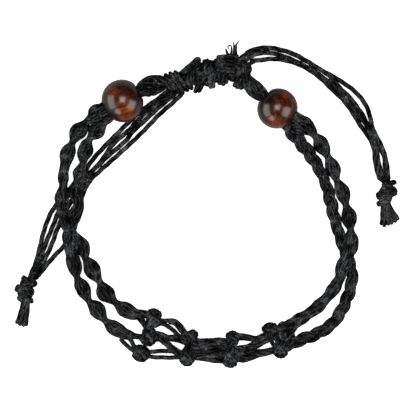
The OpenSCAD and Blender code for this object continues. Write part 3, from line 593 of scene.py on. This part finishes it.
# The cords of the net between its knots; rows: x, y, z
netCords = dict(
    width=0.98, threadWidth=0.3, low=0.55,
    # thin threads that stand out in small loops beside the eighth knot
    threads=[
        [(14.2, -23.9, 2.2), (14.5, -23.4, 2.3), (14.9, -23, 2.4), (15.4, -22.85, 2.4), (15.6, -23.2, 2.4),
         (15.3, -23.6, 2.3), (14.9, -24.1, 2.1)],
        [(14.6, -23.5, 1.9), (15.2, -23.2, 2), (15.9, -22.9, 2), (16.4, -22.9, 1.9), (16.9, -23.3, 1.8)]],
    left=[
        [(-10.48, -22.59, 2), (-9.47, -22.65, 1.9), (-8.46, -22.67, 1.7), (-7.32, -22.65, 1.6),
         (-6.18, -22.73, 1.6), (-5.36, -23.33, 1.6), (-4.73, -24.12, 1.6), (-4.04, -25.07, 1.6),
         (-3.28, -26.02, 1.5)],
        [(-7.6, -22.95, 1.4), (-6.5, -23.15, 1.2), (-5.7, -23.8, 1.1), (-5.05, -24.6, 1.1),
         (-4.35, -25.5, 1.1), (-3.5, -26.3, 1.1)],
        [(-10.49, -23.26, 0.9), (-9.4, -23.25, 0.7), (-8.5, -23.4, 0.6), (-7.65, -23.8, 0.6),
         (-6.95, -24.3, 0.6), (-6.25, -24.95, 0.6), (-5.35, -25.75, 0.7), (-3.91, -26.67, 0.9),
         (-3.16, -27.3, 0.9)],
        [(-10.98, -24.87, 1.9), (-9.72, -25.12, 1.9), (-8.71, -25.44, 1.8), (-7.57, -25.86, 1.7),
         (-6.31, -25.91, 1.7), (-5.05, -26.01, 1.6), (-3.91, -26.28, 1.3), (-2.9, -26.41, 1.1)],
        [(-10.99, -26.15, 1.2), (-9.48, -25.97, 1.1), (-8.47, -26.04, 1), (-7.46, -26.29, 0.9),
         (-6.19, -26.57, 0.8), (-4.93, -26.87, 0.8), (-3.79, -27.31, 0.8), (-2.9, -27.69, 0.8)],
        [(-11, -26.17, 0.8), (-9.48, -26.43, 0.7), (-8.47, -26.68, 0.6), (-7.59, -27.19), (-6.7, -27.93),
         (-5.82, -28.61), (-4.8, -29.09, 0.6), (-3.66, -29.46, 0.8)],
        [(-10.74, -26.78, 1.5), (-9.47, -26.42, 1.5), (-8.59, -26.93, 1.4), (-7.89, -27.51, 1.4),
         (-7.22, -28.23, 1.5), (-6.56, -28.86, 1.5), (-5.56, -29.38, 1.3), (-4.17, -29.83, 1)],
        [(-13, -29.03, 1.9), (-11.62, -28.99, 1.8), (-10.48, -28.83, 1.7), (-9.22, -28.76, 1.6),
         (-7.96, -28.73, 1.3), (-6.7, -28.89, 0.7), (-5.44, -29.28), (-3.92, -29.59, 0.7)],
        [(-13.02, -29.84, 0.8), (-11.63, -29.87, 0.7), (-10.5, -30.01, 0.6), (-8.73, -30.08),
         (-6.83, -30.1), (-5.43, -30.04, 0.6), (-3.92, -29.97, 0.8)],
        [(-13.9, -21.73, 1.2), (-13.34, -22.32, 0.9), (-12.65, -23.27, 0.6), (-12.02, -24.15, 0.6),
         (-11.38, -25.03, 0.8), (-11, -25.91, 1)],
        [(-13.1, -21.5, 1.6), (-12.6, -22.5, 1.1), (-12.2, -23.4, 0.9), (-11.8, -24.2, 0.9),
         (-11.2, -25.1, 1.1)],
        [(-11.99, -21.07, 2.2), (-11.17, -21.96, 2), (-11.43, -22.97, 1.8), (-11.62, -23.98, 1.8),
         (-11.24, -25, 1.8), (-10.73, -26.01, 1.8)],
        [(-16.11, -25.32, 1.5), (-15.03, -25.64, 1.5), (-13.77, -25.79, 1.5), (-12.76, -25.96, 1.4),
         (-11.62, -26.15, 1.3)],
        [(-17.2, -26.17, 0.7), (-16.38, -27.19, 0.6), (-15.5, -27.92, 0.6), (-14.61, -28.64, 0.8),
         (-13.52, -29.19, 1.1)],
        [(-15.8, -25.65, 1.1), (-15.04, -26.57, 1), (-14.56, -27.45, 1), (-13.97, -28.28, 1.2),
         (-13.2, -28.99, 1.4)],
        [(-3.03, -26.67, 1), (-3.72, -27.43, 1), (-3.98, -28.31, 1), (-3.6, -29.32, 1)],
        [(-2.52, -26.66, 1.2), (-2.9, -27.54, 1.3), (-3.15, -28.43, 1.3), (-3.15, -29.44, 1.2)]],
    right=[
        [(12.9, -25.5, 1.4), (12.95, -26.5, 1.3), (13.4, -27.4, 1.2), (14.2, -28.2, 1.2)],
        [(13.4, -25.1, 1.6), (13.8, -26.1, 1.5), (14.3, -27, 1.4), (15, -27.8, 1.4)],
        [(14.1, -24.9, 1.8), (14.7, -25.7, 1.6), (15.2, -26.6, 1.5), (15.5, -27.6, 1.5)],
        [(15.5, -24.8, 1.8), (15.8, -25.7, 1.6), (15.9, -26.6, 1.5), (15.8, -27.6, 1.4)],
        [(17, -24.3, 1.6), (16.7, -25.1, 1.5), (16.4, -26.1, 1.4), (16.2, -27.2, 1.3)],
        [(8.3, -28.3, 1.2), (9.7, -28, 1.2), (10.8, -27.5, 1.3), (11.8, -26.9, 1.3), (12.8, -26.4, 1.3),
         (13.8, -26.2, 1.2)],
        [(5.11, -25.66, 1.5), (6.39, -25.58, 1.5), (7.66, -25.65, 1.5), (8.78, -25.94, 1.5),
         (9.9, -26.12, 1.6), (11.01, -25.77, 1.7), (11.81, -25.34, 1.6), (12.61, -24.87, 1.5)],
        [(5.11, -26.41, 0.8), (6.39, -26.29, 0.7), (7.67, -26.23, 0.6), (8.95, -26.45, 0.6),
         (10.23, -26.58, 0.6), (11.35, -26.26, 0.6), (12.15, -25.61, 0.7), (12.79, -25.13, 0.8)],
        [(5.11, -28.14, 1.6), (6.55, -28.07, 1.6), (7.82, -27.88, 1.6), (8.94, -27.5, 1.6),
         (10.06, -26.94, 1.5), (11.18, -26.39, 1.4), (12.14, -25.76, 1.2)],
        [(5.27, -28.79, 1.1), (6.71, -28.67, 1), (7.99, -28.48, 0.9), (9.27, -28.04, 0.8),
         (10.55, -27.4, 0.8), (11.83, -26.76, 0.8), (12.78, -26.09, 0.9), (13.1, -25.28, 1)],
        [(5.27, -29.56, 1.9), (6.7, -29.32, 1.8), (8.3, -29.09, 1.7), (9.9, -28.85, 1.6),
         (11.5, -28.71, 1.5), (13.09, -28.43, 1.4), (14.85, -28.14, 1.4)],
        [(5.11, -30.38, 1.4), (6.55, -30.14, 1.3), (7.99, -29.94, 1.2), (9.43, -29.59, 1.1),
         (10.86, -29.25, 1), (12.46, -29.04, 0.9), (14.06, -28.96, 0.9)],
        [(4.96, -30.73, 0.6), (6.4, -30.58), (7.67, -30.67), (8.79, -30.35), (10.07, -29.82),
         (11.51, -29.46), (13.11, -29.06, 0.6), (14.86, -28.81, 0.8)],
        [(18.74, -23.08, 2.3), (18.02, -23.8, 2.3), (17.31, -24.84, 2.2), (16.67, -25.88, 2.1),
         (16.04, -26.85, 1.9), (15.48, -27.97, 1.7)],
        [(13.58, -24.97, 0.8), (14.23, -25.78, 0.6), (14.71, -26.74, 0.6), (15.02, -27.69, 0.8)],
        [(14.37, -24.62, 1.6), (15.17, -25.43, 1.5), (15.57, -26.54, 1.5), (15.49, -27.82, 1.5)],
        [(15.34, -24.33, 0.9), (16.14, -25.29, 0.7), (16.46, -26.41, 0.7), (16.14, -27.53, 0.8)],
        [(16.46, -23.69, 1), (17.18, -24.82, 0.7), (17.35, -26.1, 0.6), (16.78, -27.53, 0.7)]],
    band=[
        [(-3.54, -26.48, 1), (-1.12, -26.64, 1), (0.8, -26.61, 1), (2.4, -26.5, 1), (5.05, -26.64, 1)],
        [(-3.21, -27.18, 1.6), (-1.12, -27.3, 1.7), (0.48, -27.17, 1.7), (2.08, -26.89, 1.6),
         (5.05, -27.1, 1.5)],
        [(-3.21, -28.29, 1.8), (-1.12, -28.09, 1.9), (0.16, -27.67, 2), (1.6, -27.29, 2),
         (5.05, -27.49, 1.7)],
        [(-3.21, -29.08, 1.8), (-1.12, -28.76, 1.9), (0.16, -28.27, 2.1), (1.6, -27.83, 2.1),
         (5.05, -27.97, 1.8)],
        [(-3.21, -29.73, 1.6), (-1.12, -29.4, 1.8), (0.32, -28.92, 2), (1.92, -28.5, 2), (3.19, -28.4, 1.8),
         (5.21, -28.53, 1.6)],
        [(-3.21, -30.06, 1.4), (-1.12, -29.92, 1.6), (0.48, -29.73, 1.7), (2.08, -29.63, 1.7),
         (5.05, -29.81, 1.6)],
        [(-3.22, -30.24, 1), (-1.12, -30.27, 1), (0.64, -30.58, 1.2), (2.4, -30.8, 1.2),
         (5.05, -30.95, 1.2)],
        [(-3.22, -27.06), (0.48, -27.14), (5.06, -27.3)],
        [(0.3, -29.5, 0.8), (2, -29.2, 0.8), (3.4, -29.1, 0.8), (5, -29.3, 0.8)],
        [(5.4, -26, 1.9), (5, -27.1, 2.1), (4.7, -28.2, 2.1), (4.8, -29.3, 2.1)],
        [(6, -26.2, 1.6), (5.8, -27.2, 1.7), (5.5, -28.3, 1.7), (5.2, -29.4, 1.7)],
        [(-3.22, -27.86), (0.48, -27.94), (5.06, -28.02)],
        [(-3.22, -28.82), (-0.32, -28.82), (2.24, -28.82), (3.04, -28.34), (5.22, -28.18)],
        [(-3.22, -29.62), (0.48, -29.94), (2.88, -30.1), (5.06, -30.42)]])


def netPaths(routes):
    return [(smooth(laid(route, netCords["low"])), netCords["width"]) for route in routes]


def makeNetCords():
    for hand in ("left", "right"):
        threads = netCords["threads"] if hand == "right" else []
        paths = netPaths(netCords[hand]) + [(smooth(t, 0.1), netCords["threadWidth"]) for t in threads]
        dress(cordMesh(f"net_cords_{hand}_laid", paths), [f"net_cords_{hand}"])
    dress(cordMesh("net_band_laid", netPaths(netCords["band"])), ["net_band"])


makeNetCords()
print("stage: the net is knotted")

# The sliding knot that both tails run through
slidingKnot = dict(
    cord=0.92, cordsThrough=6, twistThrough=0.15,  # the cords inside turn by so many radians a mm
    # rows: start middle, end middle, angle of the wraps, half length, half height, turns, bulge
    coils=[
        ((-7.3, 24.4, 2.3), (-4, 25.4, 2.4), -50, 2.75, 2.1, 3.5, 0.08),
        ((-3.4, 25.9, 2.4), (-1.8, 26.2, 2.4), -70, 2.1, 2.0, 2.5, 0.2),
        ((-1.9, 24.7, 2.1), (-0.5, 24.7, 2.1), 66, 2.3, 1.7, 2, 0.12),
        ((-0.3, 26.6, 2.5), (1.5, 26.5, 2.5), -80, 3.2, 2.1, 3, 0.26),
        ((2.2, 26.1, 2.2), (3.8, 26.4, 2.2), -75, 2.3, 1.9, 2.5, 0.26),
        ((4.4, 30.3, 2.6), (4.3, 26.2, 2.6), -3, 2.8, 2.4, 5.5, 0.3),
        ((7.2, 27.4, 2.4), (8.1, 27.2, 2.3), -80, 2.1, 1.9, 2, 0.2),
        ((6.1, 25.5, 2), (7.9, 24.6, 2), 50, 1.9, 1.7, 3, 0.2)],
    # cords that show by themselves; rows: x, y, z
    bights=[
        [(-5.4, 26.4, 2.6), (-4.2, 27.4, 3), (-2.8, 28.6, 3), (-1.75, 29.5, 2.9), (-1.4, 29.35, 2.8),
         (-1.45, 28.4, 2.8), (-1.6, 27.2, 2.6)],
        [(-5, 26, 3.1), (-3.9, 26.9, 3.4), (-2.8, 28, 3.4), (-2.1, 28.75, 3.2), (-1.85, 28.4, 3.1),
         (-2, 27.2, 3)],
        [(7.6, 28.8, 2.6), (8.5, 28.2, 2.6), (8.8, 27.5, 2.5), (8.4, 26.7, 2.4), (7.6, 26.4, 2.2)],
        [(5.2, 27.6, 3), (6.2, 29, 2.6), (7.2, 29.95, 2), (8, 30.5, 1.5), (8.8, 30.9, 1.2)],
        [(5.6, 27.4, 3.2), (6.6, 28.8, 3), (7.4, 29.8, 2.8), (8.2, 30.5, 2.4), (9.1, 31.1, 1.9)],
        [(6, 27.2, 2.6), (7, 28.4, 2.4), (7.9, 29.2, 1.9), (8.7, 29.75, 1.4), (9.6, 30.2, 0.9)],
        [(6.4, 26.8, 2.4), (7.4, 27.8, 2.1), (8.3, 28.4, 1.7), (9.2, 28.85, 1.2), (10, 29.1, 0.8)]],
    # the turns inside; rows: place, length, width, angle
    inside=[((-7.2, 24.6, 2.4), 3.6, 3, -45), ((-5.6, 25, 2.4), 4.2, 3.3, -45),
            ((-4, 25.6, 2.4), 3.9, 3.4, -60), ((-3.2, 25.8, 2.3), 3.2, 3.4, -80),
            ((-1.8, 26.5, 2.3), 4.5, 3.5, -80), ((-0.4, 26.5, 2.3), 4.8, 3.5, -82),
            ((1, 26.9, 2.3), 5, 3.5, -82), ((2.5, 27.2, 2.3), 5.2, 3.5, -85),
            ((4, 27.4, 2.3), 4.7, 3.5, -85), ((5.4, 27.2, 2.3), 4.7, 3.5, -85),
            ((6.8, 26.6, 2.3), 4.5, 3.4, -75), ((7.4, 25.3, 2.3), 3.6, 3.2, -45)],
    # the cords that run through the knot; rows: x, y, z, diameter of the bundle
    through=[(-8, 24.6, 2.6, 2.6), (-5.5, 25.4, 2.3, 2.6), (-2.5, 26, 2.3, 2.8), (0.5, 26.5, 2.4, 3),
             (3.5, 27.6, 2.5, 3), (5.5, 27.6, 2.5, 3), (7.2, 26.6, 2.4, 2.8), (8.4, 25, 2.7, 2.6)],
    # cut ends; rows: x, y, z, diameter
    ends=[[(4.4, 30, 2.4, 0.8), (4.15, 30.9, 2.4, 0.55), (3.9, 31.6, 2.4, 0.25)],
          [(4.9, 29.9, 2.4, 0.7), (5.05, 30.9, 2.5, 0.5), (5.1, 31.8, 2.6, 0.32), (4.85, 32.2, 2.6, 0.3),
           (4.45, 32.1, 2.6, 0.3), (4.4, 31.7, 2.5, 0.26), (4.7, 31.4, 2.5, 0.2)],
          [(5.75, 30, 2.4, 0.8), (5.6, 31, 2.4, 0.6), (5.6, 32.1, 2.5, 0.45), (5.4, 32.9, 2.5, 0.2)],
          [(6.05, 30, 2.4, 0.8), (5.95, 31, 2.4, 0.6), (6, 32.2, 2.5, 0.45), (6.3, 32.7, 2.5, 0.3),
           (6.55, 33.1, 2.5, 0.18)]])


def makeSlidingKnot():
    cord = slidingKnot["cord"]
    paths = [coil(*row, cord) for row in slidingKnot["coils"]]
    paths += [(smooth(route, 0.15), cord) for route in slidingKnot["bights"]]
    paths += [core(*row) for row in slidingKnot["inside"]]
    line = smooth(slidingKnot["through"], 0.2)
    ahead, side, up = axesOf(line)
    half = (line[:, 3:4] - cord) / 2
    for k in range(slidingKnot["cordsThrough"]):
        start = 2 * math.pi * k / slidingKnot["cordsThrough"]
        turn = start + lengthAlong(line)[:, None] * slidingKnot["twistThrough"]
        paths.append((line[:, :3] + (side * np.cos(turn) + up * np.sin(turn)) * half, cord))
    for route in slidingKnot["ends"]:
        line = smooth(route, 0.1)
        paths.append((line[:, :3], line[:, 3]))
    dress(cordMesh("sliding_knot_wraps", paths), ["sliding_knot"])


makeSlidingKnot()
print("stage: the sliding knot is tied")

# The knots that end the tails, with their cut cords
endKnots = dict(
    cord=0.9, bulge=0.12,
    squeeze=0.97, spread=(0.25, 0.25, 0.5),  # how much the tail's cords draw together on their way in
    # rows: start middle, end middle, angle of the wraps, half length, half height, turns
    left=[((-35.1, -14.5, 1.8), (-35.4, -15.05, 1.8), -28, 1.85, 1.7, 2.5),
          ((-35.96, -16.05, 1.9), (-36.44, -17.35, 1.9), -20, 2.1, 1.9, 3.5),
          ((-36, -18.2, 1.6), (-36.1, -18.75, 1.6), -14, 1.8, 1.6, 2)],
    right=[((36.5, 4.84, 1.8), (36.56, 4.4, 1.8), 14, 1.6, 1.7, 2),
           ((35.85, 3.35, 1.9), (36.23, 2.1, 1.9), 17.5, 2.3, 1.9, 3.5),
           ((35.35, 1.15, 1.6), (35.45, 0.55, 1.6), 8, 1.5, 1.6, 2)],
    # the turns inside: place, length, width, angle
    inside=dict(left=((-36.1, -16.6, 1.75), 5.4, 3.3, 80), right=((35.9, 2.6, 1.75), 5, 3.3, 76)),
    # where the four cords of the tail come in
    mouth=dict(left=(-35.3, -14.9, 1.6), right=(36.1, 4.3, 1.6)))


def makeEndKnots():
    cord, made = endKnots["cord"], {}
    for hand in ("left", "right"):
        inside = endKnots["inside"][hand]
        paths = [coil(*row, endKnots["bulge"], cord) for row in endKnots[hand]] + [core(*inside)]
        mouth = np.array(endKnots["mouth"][hand])
        for name in tailPieces:
            if name.startswith(hand):
                line = tailPieces[name][1]
                inlet = mouth + (line[-1] - mouth) * endKnots["spread"]
                paths.append((smooth([line[-3], line[-1], inlet, inside[0]], 0.2),
                              tails["width"] * endKnots["squeeze"]))
        piece = cordMesh(f"{hand}_end_knot_wraps", paths)
        dress(piece, [f"{hand}_end_knot"])
        made[hand] = piece
    return made


endKnotPieces = makeEndKnots()

# The cut cords below the end knots
cutEnds = dict(
    cord=0.88,
    # rows: x, y, z
    left=[[(-36.5, -18.6, 1.4), (-36.9, -20.5, 1), (-37.4, -22, 0.8), (-37.9, -23.4, 0.6)],
          [(-36.1, -18.6, 1.6), (-36.4, -20.5, 1.3), (-36.8, -22.2, 1.1), (-37.25, -23.8, 0.8)],
          [(-35.8, -18.6, 1.5), (-35.9, -20.5, 1.2), (-36.2, -22.2, 0.9), (-36.55, -24, 0.6)],
          [(-35.5, -18.6, 1.2), (-35.6, -20.5, 0.8), (-35.8, -22.3, 0.55), (-36, -23.9, 0.5)],
          [(-36.1, -18.6, 0.8), (-36.4, -20.6, 0.5), (-36.9, -22.3, 0.48), (-37.3, -23.6, 0.48)]],
    right=[[(35.3, 1, 1.3), (35.2, -1, 1), (35.2, -2.4, 0.7), (34.95, -3.7, 0.5)],
           [(35.6, 1, 1.6), (35.6, -1, 1.3), (35.6, -2.6, 0.9), (35.65, -4.1, 0.55)],
           [(36, 1, 1.7), (36.1, -1, 1.3), (36.3, -2.5, 0.9), (36.45, -3.8, 0.6)],
           [(36.3, 1, 1.5), (36.6, -1, 1.1), (36.9, -2.3, 0.8), (37.15, -3.6, 0.6)],
           [(36.4, 1, 1.2), (37, -0.8, 0.9), (37.5, -2, 0.7), (37.95, -3.2, 0.5)],
           [(36.3, 0.8, 0.9), (37.2, -0.6, 0.6), (38, -1.8, 0.5), (38.5, -2.7, 0.48)],
           [(35.9, 0.8, 0.6), (36.2, -1, 0.5), (36.7, -2.4, 0.48), (37.3, -3.3, 0.48)]])


def makeCutEnds():
    made = {}
    for hand in ("left", "right"):
        paths = [(smooth(route, 0.1), cutEnds["cord"]) for route in cutEnds[hand]]
        piece = cordMesh(f"{hand}_cut_ends_cords", paths)
        dress(piece, [f"{hand}_cut_ends"])
        made[hand] = piece
    return made


cutEndPieces = makeCutEnds()


def declareTails():
    for name, (piece, line) in tailPieces.items():
        tuple(line[0] * mm)
        [tuple(p) for p in line * mm]
        print(f"{name}: {lengthAlong(line)[-1]:.1f} mm")


declareTails()

# The beads: lacquered red-brown wood
woodLook = dict(
    stops=[(0.0, (0.006, 0.0015, 0.001)), (0.3, (0.034, 0.0055, 0.0012)), (0.6, (0.13, 0.021, 0.003)),
           (1.0, (0.38, 0.088, 0.013))],
    blotches=240.0, streaks=1500.0, pores=5200.0,  # how dense each of them is
    streakStretch=(0.45, 1, 1),  # the grain is longer along the hole than across it
    blotchShare=1.5, darkness=0.42, streakShare=1.3, poreFrom=0.6, poreShare=2.2,
    bandReach=4.2, bandWidth=0.17, bandShare=1.05,  # the lighter band: scale in mm, width and strength
    roughness=0.28, streakRough=0.2, specular=0.2, coatRoughness=0.23, glow=(1, 0.55, 0.3, 1),
    grainBump=1.0, grainDepth=0.06, poreDepth=0.5)


def makeWoodMaterial(name, bead, look):
    material, g = newMaterial(name)

    def vectorMath(operation, a, b, output=0):
        return g.node("ShaderNodeVectorMath", dict(operation=operation), output=output, i0=a, i1=b)

    place = g.node("ShaderNodeTexCoord", output=3)
    middle = tuple(c * mm for c in bead["middle"])
    # the grain runs along the bead's hole
    turned = g.node("ShaderNodeMapping", dict(vector_type="TEXTURE"), Vector=place,
                    Location=middle, Rotation=(0, 0, math.radians(bead["angle"])))
    seed = (bead["seed"],) * 3
    shifted = vectorMath("ADD", turned, seed)
    squeezed = vectorMath("ADD", vectorMath("MULTIPLY", turned, look["streakStretch"]), seed)
    blotch = g.noise(shifted, look["blotches"], 3.0, 0.6)
    streak = g.noise(squeezed, look["streaks"], 4.0, 0.6)
    pores = g.noise(squeezed, look["pores"], 2.0)
    # a lighter band crosses the bead, and the colour is darker on both sides of it
    x, y, shift = bead["band"]
    reach = look["bandReach"] * mm
    aside = vectorMath("DOT_PRODUCT", vectorMath("SUBTRACT", place, middle), (x / reach, y / reach, 0.0), 1)
    aside = aside - shift
    light = (look["bandWidth"] - aside * aside) * look["bandShare"]
    share = blotch * look["blotchShare"] - look["darkness"] + light + (streak - 0.5) * look["streakShare"]
    share = (share - ((pores - look["poreFrom"]) * look["poreShare"]).clamped()).clamped()
    colour = g.node("ShaderNodeValToRGB", dict(stops=look["stops"]), Fac=share)
    bump = g.node("ShaderNodeBump", Height=streak + pores * look["poreDepth"], Strength=look["grainBump"],
                  Distance=look["grainDepth"] * mm)
    shader = g.node("ShaderNodeBsdfPrincipled", Base_Color=colour, Normal=bump,
                    Roughness=(look["roughness"] + (streak - 0.5) * look["streakRough"]).clamped(),
                    Specular_IOR_Level=look["specular"], Specular_Tint=look["glow"],
                    Coat_Weight=1.0, Coat_Roughness=look["coatRoughness"])
    g.node("ShaderNodeOutputMaterial", Surface=shader)
    return material


beads = dict(
    # angle: the way of the hole; band: the way across the lighter band, and its place that way; flat: the
    # length along the hole, as a share of the bead's width; rim: the rounding at the mouths, and the angle
    # it starts from
    left_bead=dict(middle=(-16.6, 21.1, 4.3), angle=30, band=(0.89, 0.46, -0.05), across=8.6, seed=0.31),
    right_bead=dict(middle=(14.2, 19.6, 4.1), angle=-45, band=(0.92, -0.39, 0.2), across=8.2, seed=0.72),
    flat=0.94, bore=3.2, rim=0.22, rimFrom=0.2, around=144, rows=60, rimRows=6)


# The section of a bead as (radius, place along the hole), from one mouth over the outside to the
# other and back through the hole
def beadSection(across):
    long = across * beads["flat"]
    off, radius, bore, rim = (across - long) / 2, long / 2, beads["bore"] / 2, beads["rim"]
    reach = math.sqrt(radius ** 2 - (bore + rim - off) ** 2)
    top = math.atan2(reach, bore + rim - off)
    outside = [(off + radius * math.cos(a), radius * math.sin(a))
               for a in np.linspace(-top, top, beads["rows"])]
    lip = [(bore + rim - rim * math.sin(a), reach - rim + rim * math.cos(a))
           for a in np.linspace(beads["rimFrom"], math.pi / 2, beads["rimRows"])]
    inside = [(bore, h) for h in np.linspace(reach - rim, rim - reach, beads["rimRows"])[1:-1]]
    return outside + lip + inside + [(r, -h) for r, h in reversed(lip)]


def makeBead(name):
    bead = beads[name]
    section, around = beadSection(bead["across"]), beads["around"]
    axis, level = heading(bead["angle"]), heading(bead["angle"] + 90)
    points, faces, rows = [], [], len(section)
    for i in range(around):
        a = 2 * math.pi * i / around
        out = level * math.cos(a) + np.array([0, 0, 1]) * math.sin(a)
        for radius, along in section:
            points.append((np.array(bead["middle"]) + axis * along + out * radius) * mm)
    for i in range(around):
        for j in range(rows):
            a, b = i * rows + j, i * rows + (j + 1) % rows
            c, d = (i + 1) % around * rows + (j + 1) % rows, (i + 1) % around * rows + j
            faces.append((a, d, c, b))
    mesh = bpy.data.meshes.new(name + "_turned")
    mesh.from_pydata([tuple(p) for p in points], [], faces)
    mesh.polygons.foreach_set("use_smooth", [True] * len(faces))
    mesh.materials.append(makeWoodMaterial(name + "Wood", bead, woodLook))
    mesh.update()
    dress(addObject(name + "_turned", mesh), [name])


makeBead("left_bead")
makeBead("right_bead")
print("stage: the beads are turned")

# The studio: a white floor, windows at the sides and a lamp above
studio = dict(
    # the paper as the camera sees it, and as it lights the bracelet: whiteness and glow
    seen=(0.93, 0.9), bounce=(0.3, 0.06), grain=0.985, grainDensity=900.0, half=1.5, sky=0.03,
    # rows: place, width, height, watts, colour
    lamps=dict(
        leftWindow=((-0.42, -0.05, 0.17), 0.5, 0.34, 1.7, (0.9, 1, 0.97)),
        lowerWindow=((-0.19, -0.36, 0.17), 0.2, 0.22, 0.6, (1, 0.93, 0.9)),
        rightWindow=((0.36, -0.14, 0.24), 0.36, 0.38, 1.6, (1, 0.97, 1)),
        topLamp=((0.0, 0.07, 0.6), 0.3, 0.3, 1.7, (1, 0.97, 0.94))))


def makeStudio():
    mesh = bpy.data.meshes.new("floor")
    half = studio["half"]
    corners = [(-half, -half, 0), (half, -half, 0), (half, half, 0), (-half, half, 0)]
    mesh.from_pydata(corners, [], [(0, 1, 2, 3)])
    floor = addObject("floor", mesh)
    material, g = newMaterial("paper")
    place = g.node("ShaderNodeTexCoord", output=3)
    grain = g.noise(place, studio["grainDensity"], 2.0)
    lit = []
    for white, glow in (studio["bounce"], studio["seen"]):
        colour = g.mixColour(grain, (white,) * 3 + (1,), (studio["grain"] * white,) * 3 + (1,))
        lit.append(g.node("ShaderNodeAddShader", i0=g.node("ShaderNodeBsdfDiffuse", Color=colour),
                          i1=g.node("ShaderNodeEmission", Color=colour, Strength=glow)))
    # the paper looks evenly white to the camera, and lights the bracelet less
    seen = g.node("ShaderNodeLightPath")
    g.node("ShaderNodeOutputMaterial", Surface=g.node("ShaderNodeMixShader", i0=seen, i1=lit[0], i2=lit[1]))
    mesh.materials.append(material)
    for name, (place, wide, high, watts, colour) in studio["lamps"].items():
        data = bpy.data.lights.new(name, "AREA")
        data.shape, data.size, data.size_y, data.energy = "RECTANGLE", wide, high, watts
        data.color = colour
        lamp = addObject(name, data)
        lamp.location = place
        aim = -np.array(place, float)
        lamp.rotation_mode = "QUATERNION"
        lamp.rotation_quaternion = Vector(aim).to_track_quat("-Z", "Y")
        lamp.visible_camera = False
    world = bpy.data.worlds.new("studioSky")
    world.use_nodes = True
    world.node_tree.nodes["Background"].inputs["Color"].default_value = (1, 1, 1, 1)
    world.node_tree.nodes["Background"].inputs["Strength"].default_value = studio["sky"]
    bpy.context.scene.world = world


makeStudio()
print("stage: the studio is lit")
